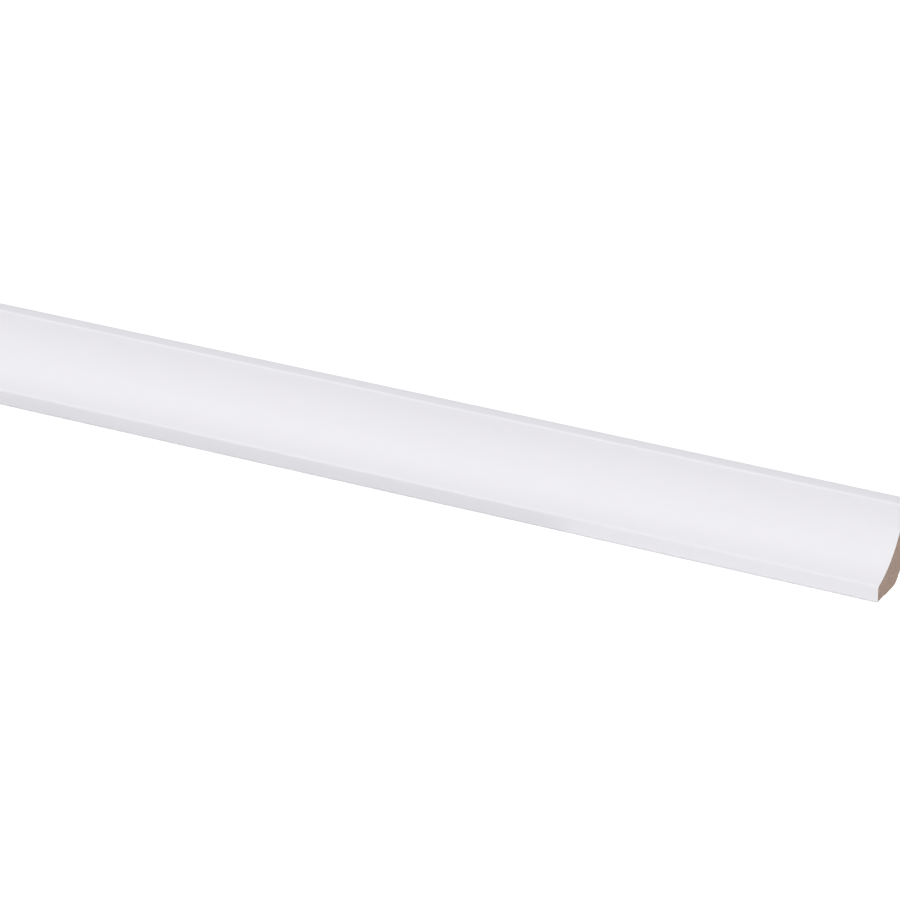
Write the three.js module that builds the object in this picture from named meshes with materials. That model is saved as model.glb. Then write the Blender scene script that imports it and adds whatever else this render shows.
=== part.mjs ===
// A length of white cove moulding: a fibreboard core machined to the section, with a thin film
// wrapped over its face and turned a little way on to the two hidden bedding faces.
// X runs along the length, the cove looks to -Y and up, and the wall face lies in the plane Y = 0.
// The origin is the middle of the bare strip of the wall face. Sizes are in millimetres.

import * as THREE from 'three';

// The finished section, film included
const LENGTH = 300;
const LEG = 22; // depth and height
const FILLET = 5; // flat that borders the cove on each leg
const COVE_RADIUS = 23;
const NOSE = 0.9; // radius where a fillet rolls over into the cove
const ARRIS = 0.6; // radius where a fillet turns on to a bedding face

// The hidden back corner, cut away so that the two legs bed down in an untrue corner
const BEVEL = 9; // taken off along each leg
const BEVEL_EASE = 5; // radius where the bevel runs into a bedding face

// The film and the shallow step of the core that it lies in
const FILM = 0.3;
const GLUE_LINE = 0.1;
const LAP = 5; // width of film turned on to each bedding face
const LAP_GAP = 0.3; // between the edge of the film and the step

// Height of the origin above the foot
const ORIGIN_HEIGHT = 14;

const COVE_STEPS = 24;
const EDGE_STEPS = 5;

const QUARTER = Math.PI / 2;

// The section is drawn with x from the front to the wall and y from the foot up, and it is the
// same on both sides of the diagonal x + y = LEG, on which the centre of the cove lies.
const offDiagonal = (FILLET + Math.sqrt(2 * COVE_RADIUS ** 2 - (LEG - FILLET) ** 2)) / 2;
const cove = new THREE.Vector2(LEG / 2 - offDiagonal, LEG / 2 + offDiagonal);

// The nose between the front fillet and the cove touches both
const noseDrop = Math.sqrt((COVE_RADIUS + NOSE) ** 2 - (NOSE - cove.x) ** 2);
const nose = new THREE.Vector2(NOSE, cove.y - noseDrop);
const coveStart = nose.clone().sub(cove).angle() - 2 * Math.PI;
const coveEnd = -QUARTER - coveStart;

function arc(x, y, radius, from, to, steps) {
  const clockwise = to < from;
  return new THREE.EllipseCurve(x, y, radius, radius, from, to, clockwise).getPoints(steps);
}

// The face from the lap under the foot round to the lap on the wall, at a depth below the surface
function faceOutline(depth, lap) {
  const arris = ARRIS - depth;
  const roll = NOSE - depth;
  return [
    new THREE.Vector2(lap, depth),
    ...arc(ARRIS, ARRIS, arris, 3 * QUARTER, 2 * QUARTER, EDGE_STEPS),
    ...arc(nose.x, nose.y, roll, Math.PI, coveStart + Math.PI, EDGE_STEPS),
    ...arc(cove.x, cove.y, COVE_RADIUS + depth, coveStart, coveEnd, COVE_STEPS).slice(1, -1),
    ...arc(LEG - nose.y, LEG - nose.x, roll, coveEnd + Math.PI, QUARTER, EDGE_STEPS),
    ...arc(LEG - ARRIS, LEG - ARRIS, arris, QUARTER, 0, EDGE_STEPS),
    new THREE.Vector2(LEG - depth, LEG - lap),
  ];
}

function filmSection() {
  const outside = faceOutline(0, LAP);
  const inside = faceOutline(FILM, LAP);
  return [...outside, ...inside.reverse()];
}

function coreSection() {
  const step = LAP + LAP_GAP;
  const runIn = BEVEL_EASE * Math.tan(QUARTER / 4);
  return [
    new THREE.Vector2(step, 0),
    ...faceOutline(FILM + GLUE_LINE, step),
    new THREE.Vector2(LEG, LEG - step),
    ...arc(LEG - BEVEL_EASE, BEVEL + runIn, BEVEL_EASE, 0, -QUARTER / 2, EDGE_STEPS),
    ...arc(LEG - BEVEL - runIn, BEVEL_EASE, BEVEL_EASE, -QUARTER / 2, -QUARTER, EDGE_STEPS),
  ];
}

const alongX = new THREE.Matrix4().makeBasis(
  new THREE.Vector3(0, 1, 0),
  new THREE.Vector3(0, 0, 1),
  new THREE.Vector3(1, 0, 0),
);

function lengthOf(section, name, finish) {
  const shape = new THREE.Shape(section);
  const geometry = new THREE.ExtrudeGeometry(shape, { depth: LENGTH, bevelEnabled: false });
  geometry.applyMatrix4(alongX);
  const mesh = new THREE.Mesh(geometry, new THREE.MeshStandardMaterial(finish));
  mesh.name = name;
  return mesh;
}

const fibreboard = { color: 0xa08e82, roughness: 0.9, metalness: 0 };
const satinWhite = { color: 0xeeeef2, roughness: 0.4, metalness: 0 };

const moulding = new THREE.Group();
moulding.add(lengthOf(coreSection(), 'fibreboard_core', fibreboard));
moulding.add(lengthOf(filmSection(), 'white_film', satinWhite));
moulding.position.set(-LENGTH / 2, -LEG, -ORIGIN_HEIGHT);

export default moulding;
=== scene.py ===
import math

import bpy
import numpy as np
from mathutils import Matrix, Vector
from mathutils.geometry import delaunay_2d_cdt


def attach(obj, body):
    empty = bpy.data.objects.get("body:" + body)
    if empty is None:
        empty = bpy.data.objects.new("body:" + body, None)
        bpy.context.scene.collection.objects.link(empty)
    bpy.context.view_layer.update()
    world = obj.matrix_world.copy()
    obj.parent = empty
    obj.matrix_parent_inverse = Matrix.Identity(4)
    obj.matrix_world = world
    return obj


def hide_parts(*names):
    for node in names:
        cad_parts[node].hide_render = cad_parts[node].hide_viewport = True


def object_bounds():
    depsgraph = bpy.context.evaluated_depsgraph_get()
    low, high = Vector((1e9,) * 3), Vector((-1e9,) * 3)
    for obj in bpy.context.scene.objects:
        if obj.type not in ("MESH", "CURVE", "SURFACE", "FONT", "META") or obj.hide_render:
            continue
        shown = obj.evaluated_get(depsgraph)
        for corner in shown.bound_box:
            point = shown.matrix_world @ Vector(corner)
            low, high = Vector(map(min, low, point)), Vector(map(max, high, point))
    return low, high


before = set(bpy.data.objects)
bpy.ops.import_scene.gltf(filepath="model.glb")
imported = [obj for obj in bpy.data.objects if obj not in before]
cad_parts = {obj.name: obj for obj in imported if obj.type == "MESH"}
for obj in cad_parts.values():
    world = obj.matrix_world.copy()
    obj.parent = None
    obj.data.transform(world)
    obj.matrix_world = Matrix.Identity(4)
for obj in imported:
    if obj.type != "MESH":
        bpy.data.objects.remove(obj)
cad_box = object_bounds()


# Core: a strip of brown medium-density fibreboard, run through a moulder that cuts the cove, the
# two legs and the bevel behind. The board lies parallel to the bevel. It is left bare on the back,
# and it is sawn off square at both ends.

# The section, in millimetres
MM = 0.001
QUARTER = math.pi / 2  # a quarter turn
LENGTH, LEG, _ = ((high - low) / MM for low, high in zip(*cad_box))  # as deep as it is high
FOOT_TO_ORIGIN = -cad_box[0][2] / MM
FILLET = 5  # flat that borders the cove on each leg
COVE_RADIUS = 23
NOSE = 0.9  # radius where a fillet rolls over into the cove
ARRIS = 0.6  # radius where a fillet turns on to a bedding face
BEVEL = 9  # taken off along each leg
BEVEL_EASE = 5  # radius where the bevel runs into a bedding face
FILM = 0.3
GLUE = 0.02  # between the film and the core
LAP = 5  # width of film turned on to each bedding face
LAP_GAP = 0.3  # between the edge of the film and the step that it lies in

# How finely the section is drawn
COVE_STEPS = 64
NOSE_STEPS = 10
EDGE_STEPS = 8  # round an arris, or an eased edge of the bevel
RIM_STEP = 0.5  # longest stretch of the outline between two points
GRID_STEP = 0.25  # between the points inside a sawn end


def bow(x, y, radius, start, end, steps):
    """Points along an arc of the section, from one angle to the other."""
    turn = [start + (end - start) * i / steps for i in range(steps + 1)]
    return [(x + radius * math.cos(a), y + radius * math.sin(a)) for a in turn]


def face_line(depth, lap):
    """The moulded face from the lap under the foot to the lap on the wall, in millimetres from
    the front and from the foot, at a depth below the finished surface."""
    # The section is the same on both sides of a diagonal, and the centre of the cove lies on it
    off_diagonal = (FILLET + math.sqrt(2 * COVE_RADIUS**2 - (LEG - FILLET) ** 2)) / 2
    cove_x, cove_y = LEG / 2 - off_diagonal, LEG / 2 + off_diagonal
    nose_y = cove_y - math.sqrt((COVE_RADIUS + NOSE) ** 2 - (NOSE - cove_x) ** 2)
    begin = math.atan2(nose_y - cove_y, NOSE - cove_x)
    finish = -QUARTER - begin
    arris, roll = ARRIS - depth, NOSE - depth
    return [
        (lap, depth),
        *bow(ARRIS, ARRIS, arris, 3 * QUARTER, 2 * QUARTER, EDGE_STEPS),
        *bow(NOSE, nose_y, roll, math.pi, begin + math.pi, NOSE_STEPS),
        *bow(cove_x, cove_y, COVE_RADIUS + depth, begin, finish, COVE_STEPS)[1:-1],
        *bow(LEG - nose_y, LEG - NOSE, roll, finish + math.pi, QUARTER, NOSE_STEPS),
        *bow(LEG - ARRIS, LEG - ARRIS, arris, QUARTER, 0, EDGE_STEPS),
        (LEG - depth, LEG - lap),
    ]


def core_line():
    """The core's own outline, let in to take the thickness of the film."""
    seat = LAP + LAP_GAP
    run_in = BEVEL_EASE * math.tan(QUARTER / 4)
    return [
        (seat, 0),
        *face_line(FILM + GLUE, seat),
        (LEG, LEG - seat),
        *bow(LEG - BEVEL_EASE, BEVEL + run_in, BEVEL_EASE, 0, -QUARTER / 2, EDGE_STEPS),
        *bow(LEG - BEVEL - run_in, BEVEL_EASE, BEVEL_EASE, -QUARTER / 2, -QUARTER, EDGE_STEPS),
    ]


def in_short_steps(line, longest):
    """The same closed line, with its long straight runs cut into shorter ones."""
    stepped = []
    for here, there in zip(line, line[1:] + line[:1]):
        parts = max(1, math.ceil(math.dist(here, there) / longest))
        for i in range(parts):
            stepped.append(tuple(a + (b - a) * i / parts for a, b in zip(here, there)))
    return stepped


def points_inside(line, spacing):
    """A staggered grid of points inside a closed line, over half a space clear of it."""
    corner = np.array(line)
    following = np.roll(corner, -1, axis=0)
    along = following - corner
    level = along[:, 1] == 0
    found = []
    for row in range(int(LEG / spacing)):
        y = (row + 0.5) * spacing
        crossing = (corner[:, 1] > y) != (following[:, 1] > y)
        reach = (y - corner[:, 1]) / np.where(level, 1, along[:, 1])
        crossed_at = (corner[:, 0] + reach * along[:, 0])[crossing]
        for column in range(int(LEG / spacing)):
            x = (column + 0.25 + 0.5 * (row % 2)) * spacing
            if np.sum(crossed_at > x) % 2 == 0:
                continue
            share = ((x, y) - corner) * along
            share = np.clip(share.sum(1) / (along * along).sum(1), 0, 1)
            off = corner + share[:, None] * along - (x, y)
            if np.hypot(off[:, 0], off[:, 1]).min() > 0.5 * spacing:
                found.append((x, y))
    return found


def section_plate(name, line, inner_points=()):
    """A flat plate of the section, drawn with its width along X and its height along Y. Its
    inner points are marked loose, because the saw can pluck them and not the rim."""
    rim = [(i, (i + 1) % len(line)) for i in range(len(line))]
    drawn = [Vector(p) for p in (*line, *inner_points)]
    inside_only = 1
    nearest = 1e-6  # millimetres between two points that stay apart
    spots, _, triangles, came_from, _, _ = delaunay_2d_cdt(drawn, rim, [], inside_only, nearest)
    plate = bpy.data.meshes.new(name)
    corners = [((p.x - LEG) * MM, (p.y - FOOT_TO_ORIGIN) * MM, 0) for p in spots]
    plate.from_pydata(corners, [], triangles)
    loose = plate.attributes.new("loose", "FLOAT", "POINT")
    for spot, sources in zip(loose.data, came_from):
        spot.value = float(min(sources) >= len(line))
    return plate


def put(tree, kind, inputs=(), **settings):
    """Adds a node to a tree, sets it up, joins or sets its inputs, and gives its outputs."""
    node = tree.nodes.new(kind)
    for key, value in settings.items():
        setattr(node, key, value)
    for key, value in dict(inputs).items():
        if isinstance(value, bpy.types.NodeSocket):
            tree.links.new(value, node.inputs[key])
        else:
            node.inputs[key].default_value = value
    return node.outputs


def sums(tree, operation, *values):
    """One sum on plain values, such as MULTIPLY or SUBTRACT."""
    return put(tree, "ShaderNodeMath", dict(enumerate(values)), operation=operation)[0]


def by_axis(tree, operation, first, second):
    """One sum on places or directions, axis by axis."""
    return put(tree, "ShaderNodeVectorMath", {0: first, 1: second}, operation=operation)[0]


def scaled(tree, direction, amount):
    """A direction made longer or shorter."""
    inputs = {0: direction, "Scale": amount}
    return put(tree, "ShaderNodeVectorMath", inputs, operation="SCALE")[0]


def grain(tree, place, dimensions, **settings):
    """Natural unevenness, from 0 to 1."""
    inputs = {"Vector": place, **settings}
    return put(tree, "ShaderNodeTexNoise", inputs, noise_dimensions=dimensions)["Fac"]


def ripples(tree, place, scale, waver, **settings):
    """Even waves, from 0 to 1, in bands or in rings."""
    inputs = {"Vector": place, "Scale": scale, "Distortion": waver}
    return put(tree, "ShaderNodeTexWave", inputs, **settings)["Fac"]


def joined(tree, *parts):
    """Several meshes as one."""
    node = tree.nodes.new("GeometryNodeJoinGeometry")
    for part in parts:
        tree.links.new(part, node.inputs[0])
    return node.outputs[0]


# The marks of the saw across the ends, in millimetres
SAW_PITCH = 0.7
SAW_RELIEF = 0.08
SAW_AXLE = (-70, 120)  # Y and Z of the axle that the blade turned on
SAW_WAVER = 1.0
ARC_SHARE = 0.35  # height of the arcs beside that of the plucked fibre
PLUCKED_FIBRE = {"Scale": 1400, "Detail": 2}
WAVE = math.pi / 10  # metres from crest to crest of the ripples at a scale of one

# The slit edges of a covering, and the skin of the finished run
SLIT_EDGE = {"Scale": 90, "Detail": 2}
WELD = 0.001  # millimetres between points that become one
CRISP_FOLD = 0.6  # radians between two faces, past which their edge stays sharp


def run_tree():
    """Runs a section plate out to its length, closes it with a sawn plate at each end, and lays
    it down along X."""
    tree = bpy.data.node_groups.new("Run of moulding", "GeometryNodeTree")
    tree.is_modifier = True
    for label, kind in (
        ("Section", "Geometry"),
        ("Length", "Float"),
        ("Stations", "Int"),
        ("Saw Relief", "Float"),
        ("Saw Pitch", "Float"),
        ("Saw Axle", "Vector"),
        ("Lap Wander", "Float"),
        ("Seed", "Float"),
        ("Finish", "Material"),
    ):
        tree.interface.new_socket(label, in_out="INPUT", socket_type="NodeSocket" + kind)
    tree.interface.new_socket("Moulding", in_out="OUTPUT", socket_type="NodeSocketGeometry")
    given = put(tree, "NodeGroupInput")
    section, seed = given["Section"], given["Seed"]
    half = sums(tree, "MULTIPLY", given["Length"], 0.5)
    far = put(tree, "ShaderNodeCombineXYZ", {"Z": half})[0]
    near = scaled(tree, far, -1)
    place = put(tree, "GeometryNodeInputPosition")[0]

    # The long faces, swept from the rim of the plate, where an edge has one face
    faces = put(tree, "GeometryNodeInputMeshEdgeNeighbors")[0]
    one_face = {2: faces, 3: 1}
    on_rim = put(tree, "FunctionNodeCompare", one_face, data_type="INT", operation="EQUAL")[0]
    rim = put(tree, "GeometryNodeMeshToCurve", {"Mesh": section, "Selection": on_rim})[0]
    line = put(tree, "GeometryNodeCurvePrimitiveLine", {"Start": near, "End": far})[0]
    path = put(tree, "GeometryNodeResampleCurve", {"Curve": line, "Count": given["Stations"]})[0]
    sides = put(tree, "GeometryNodeCurveToMesh", {"Curve": path, "Profile Curve": rim})[0]
    sides = put(tree, "GeometryNodeFlipFaces", {"Mesh": sides})[0]

    # The two ends, each with the arcs of the saw blade and a little plucked fibre
    far_end = put(tree, "GeometryNodeTransform", {"Geometry": section, "Translation": far})[0]
    near_end = put(tree, "GeometryNodeTransform", {"Geometry": section, "Translation": near})[0]
    near_end = put(tree, "GeometryNodeFlipFaces", {"Mesh": near_end})[0]
    ends = joined(tree, far_end, near_end)
    from_axle = by_axis(tree, "SUBTRACT", place, given["Saw Axle"])
    closeness = sums(tree, "DIVIDE", WAVE, given["Saw Pitch"])
    about_axle = {"wave_type": "RINGS", "rings_direction": "Z"}
    arcs = ripples(tree, from_axle, closeness, SAW_WAVER, **about_axle)
    plucked = grain(tree, place, "4D", W=seed, **PLUCKED_FIBRE)
    cut = sums(tree, "MULTIPLY_ADD", arcs, ARC_SHARE, plucked)
    loose = put(tree, "GeometryNodeInputNamedAttribute", {"Name": "loose"})[0]
    depth = sums(tree, "MULTIPLY", cut, sums(tree, "MULTIPLY", given["Saw Relief"], loose))
    outwards = put(tree, "GeometryNodeInputNormal")[0]
    sunk = {"Geometry": ends, "Offset": scaled(tree, outwards, sums(tree, "MULTIPLY", depth, -1))}
    ends = put(tree, "GeometryNodeSetPosition", sunk)[0]
    marked = {"Geometry": ends, "Name": "sawn", "Value": 1.0}
    ends = put(tree, "GeometryNodeStoreNamedAttribute", marked, domain="FACE")[0]

    # Welded into one skin, with the slit edges of a covering left a little uneven
    touching = {"Geometry": joined(tree, sides, ends), "Distance": WELD * MM}
    whole = put(tree, "GeometryNodeMergeByDistance", touching)[0]
    on_slit = {"Name": "lap_way"}
    lap_way = put(tree, "GeometryNodeInputNamedAttribute", on_slit, data_type="FLOAT_VECTOR")[0]
    waver = sums(tree, "SUBTRACT", grain(tree, place, "4D", W=seed, **SLIT_EDGE), 0.5)
    stray = scaled(tree, lap_way, sums(tree, "MULTIPLY", waver, given["Lap Wander"]))
    whole = put(tree, "GeometryNodeSetPosition", {"Geometry": whole, "Offset": stray})[0]

    # Smooth over the curves and crisp at the corners, then laid down
    whole = put(tree, "GeometryNodeSetShadeSmooth", {"Geometry": whole, "Shade Smooth": True})[0]
    fold = {0: put(tree, "GeometryNodeInputMeshEdgeAngle")["Unsigned Angle"], 1: CRISP_FOLD}
    crisp = put(tree, "FunctionNodeCompare", fold, operation="GREATER_THAN")[0]
    corners = {"Geometry": whole, "Selection": crisp, "Shade Smooth": False}
    whole = put(tree, "GeometryNodeSetShadeSmooth", corners, domain="EDGE")[0]
    lying = {"Geometry": whole, "Rotation": (QUARTER, 0, QUARTER)}
    whole = put(tree, "GeometryNodeTransform", lying)[0]
    whole = put(tree, "GeometryNodeRealizeInstances", {"Geometry": whole})[0]
    finished = {"Geometry": whole, "Material": given["Finish"]}
    put(tree, "NodeGroupOutput", {0: put(tree, "GeometryNodeSetMaterial", finished)[0]})
    return tree


def run_off(name, plate, **sizes):
    """Makes a piece from a section plate, as a plain mesh."""
    piece = bpy.data.objects.new(name, plate)
    bpy.context.scene.collection.objects.link(piece)
    run = piece.modifiers.new("Run of moulding", "NODES")
    run.node_group = run_of_moulding
    for socket in run_of_moulding.interface.items_tree:
        size = socket.name.lower().replace(" ", "_")
        if size in sizes:
            run[socket.identifier] = sizes[size]
    ready = bpy.context.evaluated_depsgraph_get()
    piece.data = bpy.data.meshes.new_from_object(
        piece.evaluated_get(ready), preserve_all_data_layers=True, depsgraph=ready
    )
    piece.modifiers.clear()
    piece.data.materials.pop(index=0)  # the empty slot that the sweep leaves before the finish
    return piece


def mixed(tree, share, first, second):
    """Mixes two colours."""
    inputs = {"Factor": share, 6: first, 7: second}
    return put(tree, "ShaderNodeMix", inputs, data_type="RGBA")[2]


def spread(tree, value, low, high, to_low, to_high):
    """Maps a value from one range to another, held at its ends."""
    return put(tree, "ShaderNodeMapRange", dict(enumerate((value, low, high, to_low, to_high))))[0]


def turned(tree, place, axis, angle):
    """A place turned about one axis of the moulding."""
    inputs = {"Vector": place, "Angle": angle}
    return put(tree, "ShaderNodeVectorRotate", inputs, rotation_type=axis + "_AXIS")[0]


# The fibres of the board
FIBRE_HEADINGS = (10, 70, 130)  # degrees round, in the plane of the board
ALONG_FIBRE = (0.12, 1, 1)  # draws the grain out into strands
FELTING = {"Detail": 3, "Distortion": 0.4}
PRESSED = (1, 1, 2.5)  # flattens the clumps through the thickness of the board
CLUMP_FINENESS = 0.12  # beside that of the fibres
CLUMP_DETAIL = 3


def fibre_group():
    """The felted fibres of the board. They lie every way in the plane of the board, which leans
    45 degrees about the length, so a cut across them shows short streaks along the bevel."""
    group = bpy.data.node_groups.new("Board fibres", "ShaderNodeTree")
    group.interface.new_socket("Fibres per Metre", in_out="INPUT", socket_type="NodeSocketFloat")
    for label in ("Strand", "Gap", "Mottle"):
        group.interface.new_socket(label, in_out="OUTPUT", socket_type="NodeSocketFloat")
    fineness = put(group, "NodeGroupInput")["Fibres per Metre"]
    place = put(group, "ShaderNodeTexCoord")["Object"]
    in_board = turned(group, place, "X", -QUARTER / 2)
    felts = []
    for heading in FIBRE_HEADINGS:
        lying = turned(group, in_board, "Z", math.radians(heading))
        drawn = by_axis(group, "MULTIPLY", lying, ALONG_FIBRE)
        felts.append(grain(group, drawn, "4D", W=heading, Scale=fineness, **FELTING))
    strand = gap = felts[0]
    for felt in felts[1:]:
        strand = sums(group, "MAXIMUM", strand, felt)
        gap = sums(group, "MINIMUM", gap, felt)
    flat = by_axis(group, "MULTIPLY", in_board, PRESSED)
    clumps = sums(group, "MULTIPLY", fineness, CLUMP_FINENESS)
    mottle = grain(group, flat, "3D", Scale=clumps, Detail=CLUMP_DETAIL)
    put(group, "NodeGroupOutput", {"Strand": strand, "Gap": gap, "Mottle": mottle})
    return group


def surface(name):
    """A new material, with its tree and its shader."""
    made = bpy.data.materials.new(name)
    made.use_nodes = True
    return made, made.node_tree, made.node_tree.nodes["Principled BSDF"]


# The bare board, where a range is a low and a high value and what they turn into
BOARD_TAN = (0.37, 0.27, 0.22, 1)
FIBRE_DARK = (0.21, 0.145, 0.11, 1)
FIBRE_PALE = (0.50, 0.40, 0.34, 1)
FIBRES_PER_METRE = 2600
DARK_GAPS = (0.30, 0.42, 0.75, 0)
PALE_STRANDS = (0.56, 0.70, 0, 0.75)
DARK_CLUMPS = (0.35, 0.65, 0, 0.18)
STRAND_ROUGHNESS = (0.4, 0.7, 0.95, 0.78)
BOARD_SPECULAR = 0.3
SKIN_DEPTH = 1.8
SKIN_SHADE = 0.22
KNIFE_PITCH = 1.6
KNIFE_WAVER = 0.3
KNIFE_SHARE = 0.4  # strength of the knife marks beside that of the saw's arcs
MARK_SHADE = 0.12
MARK_HEIGHT = 0.3  # beside that of the fibres
BOARD_FUZZ = {"Strength": 0.7, "Distance": 0.12 * MM}


def bare_fibreboard():
    """Matt brown board, with saw marks on its ends and knife marks along its length."""
    made, tree, shader = surface("Bare fibreboard")
    fineness = {"Fibres per Metre": FIBRES_PER_METRE}
    board = put(tree, "ShaderNodeGroup", fineness, node_tree=board_fibres)
    place = put(tree, "ShaderNodeTexCoord")["Object"]
    sawn = put(tree, "ShaderNodeAttribute", attribute_name="sawn")["Fac"]

    # Pale and dark fibres in clumps
    colour = mixed(tree, spread(tree, board["Gap"], *DARK_GAPS), BOARD_TAN, FIBRE_DARK)
    colour = mixed(tree, spread(tree, board["Strand"], *PALE_STRANDS), colour, FIBRE_PALE)
    colour = mixed(tree, spread(tree, board["Mottle"], *DARK_CLUMPS), colour, FIBRE_DARK)

    # Denser board towards its two pressed faces, one along the bevel and one across the noses
    slant = 1 / math.sqrt(2)
    half_board = (LEG - BEVEL + FILLET) / 2 * slant
    mid_board = ((LEG - BEVEL - FILLET) / 2 - LEG + FOOT_TO_ORIGIN) * slant
    thickness_way = {0: place, 1: (0, slant, -slant)}
    across = put(tree, "ShaderNodeVectorMath", thickness_way, operation="DOT_PRODUCT")["Value"]
    off_middle = sums(tree, "ABSOLUTE", sums(tree, "SUBTRACT", across, mid_board * MM))
    inner = (half_board - SKIN_DEPTH) * MM
    skin = spread(tree, off_middle, inner, half_board * MM, 0, SKIN_SHADE)
    colour = mixed(tree, skin, colour, FIBRE_DARK)

    # Arcs of the saw on the ends, and knife marks of the moulder on the long faces
    axle = (0, SAW_AXLE[0] * MM, SAW_AXLE[1] * MM)
    from_axle = by_axis(tree, "SUBTRACT", place, axle)
    about_axle = {"wave_type": "RINGS", "rings_direction": "X"}
    arcs = ripples(tree, from_axle, WAVE / (SAW_PITCH * MM), SAW_WAVER, **about_axle)
    knife = ripples(tree, place, WAVE / (KNIFE_PITCH * MM), KNIFE_WAVER, bands_direction="X")
    arcs = sums(tree, "MULTIPLY", arcs, sawn)
    knife = sums(tree, "MULTIPLY", knife, sums(tree, "SUBTRACT", 1.0, sawn))
    marks = sums(tree, "ADD", arcs, sums(tree, "MULTIPLY", knife, KNIFE_SHARE))
    colour = mixed(tree, sums(tree, "MULTIPLY", marks, MARK_SHADE), colour, FIBRE_DARK)

    tree.links.new(colour, shader.inputs["Base Color"])
    roughness = spread(tree, board["Strand"], *STRAND_ROUGHNESS)
    tree.links.new(roughness, shader.inputs["Roughness"])
    shader.inputs["Specular IOR Level"].default_value = BOARD_SPECULAR
    height = sums(tree, "MULTIPLY_ADD", marks, MARK_HEIGHT, board["Strand"])
    fuzz = put(tree, "ShaderNodeBump", {"Height": height, **BOARD_FUZZ})[0]
    tree.links.new(fuzz, shader.inputs["Normal"])
    return made


run_of_moulding = run_tree()
board_fibres = fibre_group()
outline = in_short_steps(core_line(), RIM_STEP)
core = run_off(
    "moulding_core",
    section_plate("core section", outline, points_inside(outline, GRID_STEP)),
    length=LENGTH * MM,
    stations=61,
    saw_relief=SAW_RELIEF * MM,
    saw_pitch=SAW_PITCH * MM,
    saw_axle=(SAW_AXLE[0] * MM, SAW_AXLE[1] * MM, 0),
    lap_wander=0.0,
    seed=3.0,
    finish=bare_fibreboard(),
)
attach(core, "root")
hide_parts("fibreboard_core")


# Film: a thin white satin film, glued and rolled round the moulded face in one pass and turned on
# to the two bedding faces, where its slit edges wander a little. It is sawn through with the core.

LAP_WANDER = 0.5
FILM_WHITE = (0.872, 0.860, 0.900, 1)
FILM_STREAK = (0.862, 0.850, 0.890, 1)
ALONG_STREAK = (0.02, 1, 1)  # draws the grain out along the rollers' path
STREAK_GRAIN = {"Scale": 180, "Detail": 0}
STREAK_TINT = (0.2, 0.8, 0, 1)
STREAK_HEIGHT = 0.5  # beside that of the fibres
FIBRES_SHOWING = 700  # to the metre, through the film
FILM_ROUGHNESS = (0.4, 0.7, 0.29, 0.33)
FILM_RELIEF = {"Strength": 0.5, "Distance": 0.01 * MM}


def film_plate():
    """The section of the film, with the way that each of its two slit edges can stray."""
    outside = face_line(0, LAP)
    inside = face_line(FILM, LAP)
    plate = section_plate("film section", outside + inside[::-1])
    lap_way = plate.attributes.new("lap_way", "FLOAT_VECTOR", "POINT")
    edges = {
        (1, 0, 0): (0, len(outside) + len(inside) - 1),
        (0, -1, 0): (len(outside) - 1, len(outside)),
    }
    for way, spots in edges.items():
        for spot in spots:
            lap_way.data[spot].vector = way
    return plate


def satin_white():
    """White film with long faint streaks from the rollers, and the fibres of the board just
    showing through."""
    made, tree, shader = surface("Satin white film")
    fineness = {"Fibres per Metre": FIBRES_SHOWING}
    board = put(tree, "ShaderNodeGroup", fineness, node_tree=board_fibres)
    place = put(tree, "ShaderNodeTexCoord")["Object"]
    drawn = by_axis(tree, "MULTIPLY", place, ALONG_STREAK)
    streak = grain(tree, drawn, "3D", **STREAK_GRAIN)
    colour = mixed(tree, spread(tree, streak, *STREAK_TINT), FILM_WHITE, FILM_STREAK)
    tree.links.new(colour, shader.inputs["Base Color"])
    roughness = spread(tree, board["Strand"], *FILM_ROUGHNESS)
    tree.links.new(roughness, shader.inputs["Roughness"])
    height = sums(tree, "MULTIPLY_ADD", streak, STREAK_HEIGHT, board["Strand"])
    relief = put(tree, "ShaderNodeBump", {"Height": height, **FILM_RELIEF})[0]
    tree.links.new(relief, shader.inputs["Normal"])
    return made


film = run_off(
    "white_film_cover",
    film_plate(),
    length=LENGTH * MM,
    stations=241,
    saw_relief=0.0,
    saw_pitch=SAW_PITCH * MM,
    lap_wander=LAP_WANDER * MM,
    seed=8.0,
    finish=satin_white(),
)
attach(film, "root")
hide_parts("white_film")


# Studio: a plain white floor that the moulding stands on, soft even light with a large soft key
# from the right, weak low lights from the front, the left and behind, a faint high one for the
# sheen, a bounce card along the foot, and a long lens.

# In metres and degrees, with the lens and its sensor in millimetres
FLOOR_RADIUS = 12
FLOOR_SIDES = 64
FLOOR_WHITE = 0.7
FLOOR_ROUGHNESS = 0.9
FLOOR_GLOW = 0.6  # towards the camera only
AMBIENT = 0.31  # brightness of the surroundings as they light the moulding
BACKDROP = 1.1  # and as the camera sees them
SUNS = {
    "key": {"turn": 60, "tilt": 45, "strength": 1.92, "softness": 40},
    "fill": {"turn": 20, "tilt": 8, "strength": 0.54, "softness": 40},
    "left": {"turn": -90, "tilt": 8, "strength": 1.2, "softness": 40},
    "back": {"turn": 155, "tilt": 8, "strength": 0.9, "softness": 40},
    "sheen": {"turn": -73, "tilt": 64, "strength": 0.15, "softness": 30},
}
CARD_SIZE = (0.144, 0.012)
CARD_PLACE = (0.1283, -0.0282, -0.0138)
CARD_POWER = 0.00105
VIEW_TURN = 27.29
VIEW_TILT = 25.28
VIEW_DISTANCE = 1.2569
VIEW_AIM = (0.01745, -0.0158, 0.00035)
LENS = 178.84
SENSOR = 36
FARTHEST = 100  # that the camera draws


def from_side(turn, tilt):
    """The direction to a point seen at an angle round from the front and an angle up."""
    turn, tilt = math.radians(turn), math.radians(tilt)
    flat = math.cos(tilt)
    return Vector((math.sin(turn) * flat, -math.cos(turn) * flat, math.sin(tilt)))


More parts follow.
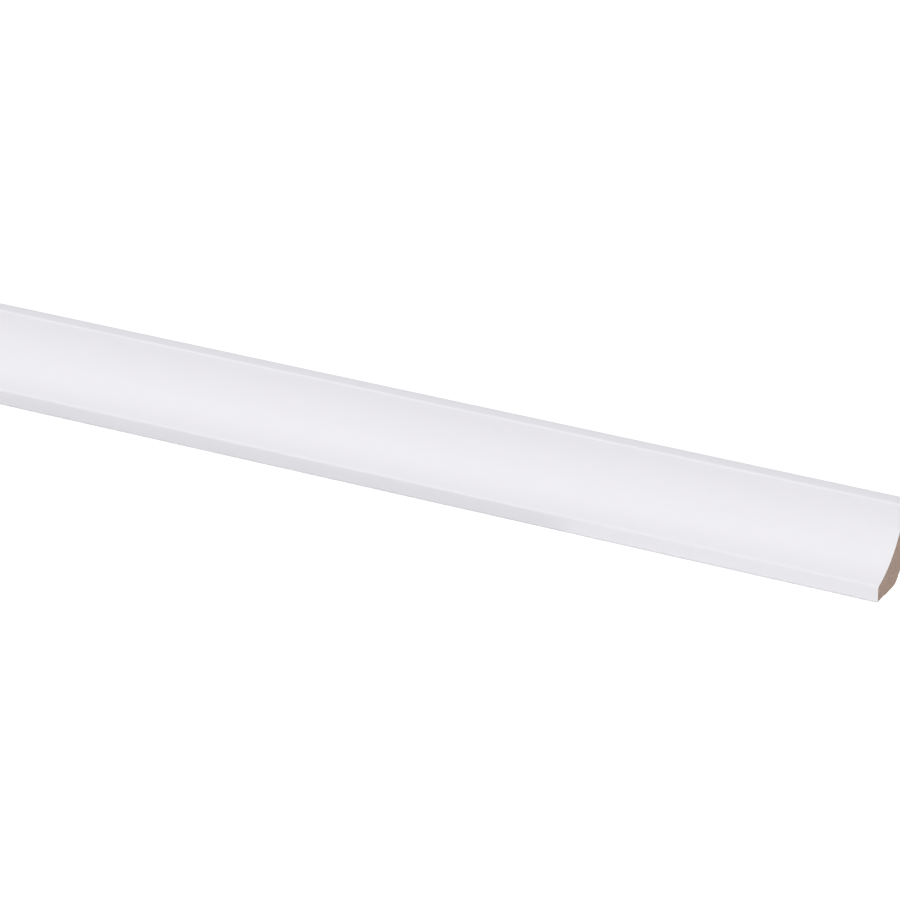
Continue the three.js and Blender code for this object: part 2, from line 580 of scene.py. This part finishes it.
def lamp(name, kind):
    """A new light in the scene."""
    made = bpy.data.objects.new(name, bpy.data.lights.new(name, kind))
    scene.collection.objects.link(made)
    return made


scene = bpy.context.scene
scene.view_settings.view_transform = "Standard"

bpy.ops.mesh.primitive_circle_add(
    vertices=FLOOR_SIDES, radius=FLOOR_RADIUS, fill_type="NGON", location=(0, 0, cad_box[0][2])
)
floor = bpy.context.object
floor.name = "floor"
pale, tree, shader = surface("Pale floor")
shader.inputs["Base Color"].default_value = (FLOOR_WHITE, FLOOR_WHITE, FLOOR_WHITE, 1)
shader.inputs["Roughness"].default_value = FLOOR_ROUGHNESS
shader.inputs["Specular IOR Level"].default_value = 0
shader.inputs["Emission Color"].default_value = (1, 1, 1, 1)
seen = put(tree, "ShaderNodeLightPath")["Is Camera Ray"]
glow = sums(tree, "MULTIPLY", seen, FLOOR_GLOW)
tree.links.new(glow, shader.inputs["Emission Strength"])
floor.data.materials.append(pale)

world = bpy.data.worlds.new("studio")
world.use_nodes = True
scene.world = world
tree = world.node_tree
seen = put(tree, "ShaderNodeLightPath")["Is Camera Ray"]
tree.nodes["Background"].inputs["Color"].default_value = (1, 1, 1, 1)
brightness = spread(tree, seen, 0, 1, AMBIENT, BACKDROP)
tree.links.new(brightness, tree.nodes["Background"].inputs["Strength"])

for name, light in SUNS.items():
    soft = lamp(name + " light", "SUN")
    soft.data.energy = light["strength"]
    soft.data.angle = math.radians(light["softness"])
    towards = from_side(light["turn"], light["tilt"])
    soft.rotation_euler = towards.to_track_quat("Z", "Y").to_euler()

card = lamp("bounce card", "AREA")
card.data.shape = "RECTANGLE"
card.data.size, card.data.size_y = CARD_SIZE
card.data.energy = CARD_POWER
card.location = CARD_PLACE
card.rotation_euler = (math.pi, 0, 0)  # face up
card.visible_camera = False

camera = bpy.data.objects.new("camera", bpy.data.cameras.new("camera"))
camera.data.lens = LENS
camera.data.sensor_width = SENSOR
camera.data.clip_end = FARTHEST
outlook = from_side(VIEW_TURN, VIEW_TILT)
camera.location = Vector(VIEW_AIM) + outlook * VIEW_DISTANCE
camera.rotation_euler = outlook.to_track_quat("Z", "Y").to_euler()
scene.collection.objects.link(camera)
scene.camera = camera
